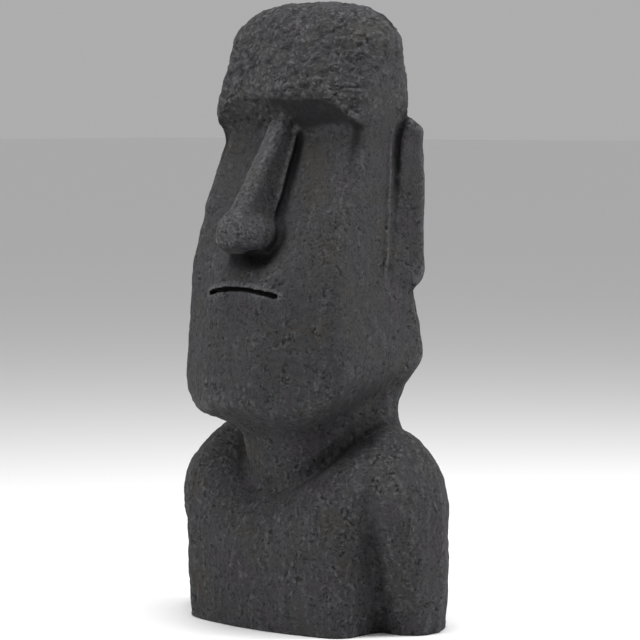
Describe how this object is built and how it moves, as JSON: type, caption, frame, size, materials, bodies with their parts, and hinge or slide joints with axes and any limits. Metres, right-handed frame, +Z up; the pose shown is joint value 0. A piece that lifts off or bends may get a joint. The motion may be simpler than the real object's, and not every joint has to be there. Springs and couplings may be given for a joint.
{
  "type": "moai head statue",
  "caption": "Garden statue of a moai: long stone head with heavy brow, long nose, pressed lips and plate ears, on a short bust cut flat below.",
  "frame": {"origin": "on the underside of the bust, at the middle of the statue's width and depth", "axes": "+Z up, the face looks towards -Y, the statue's left ear is towards +X"},
  "size_m": [0.39, 0.2494, 0.7796],
  "materials": {
    "charcoal_stone": "hand-trowelled dark charcoal casting, matt, with small pits"
  },
  "bodies": {
    "root": {"moai_statue": "charcoal_stone"}
  },
  "joints": []
}
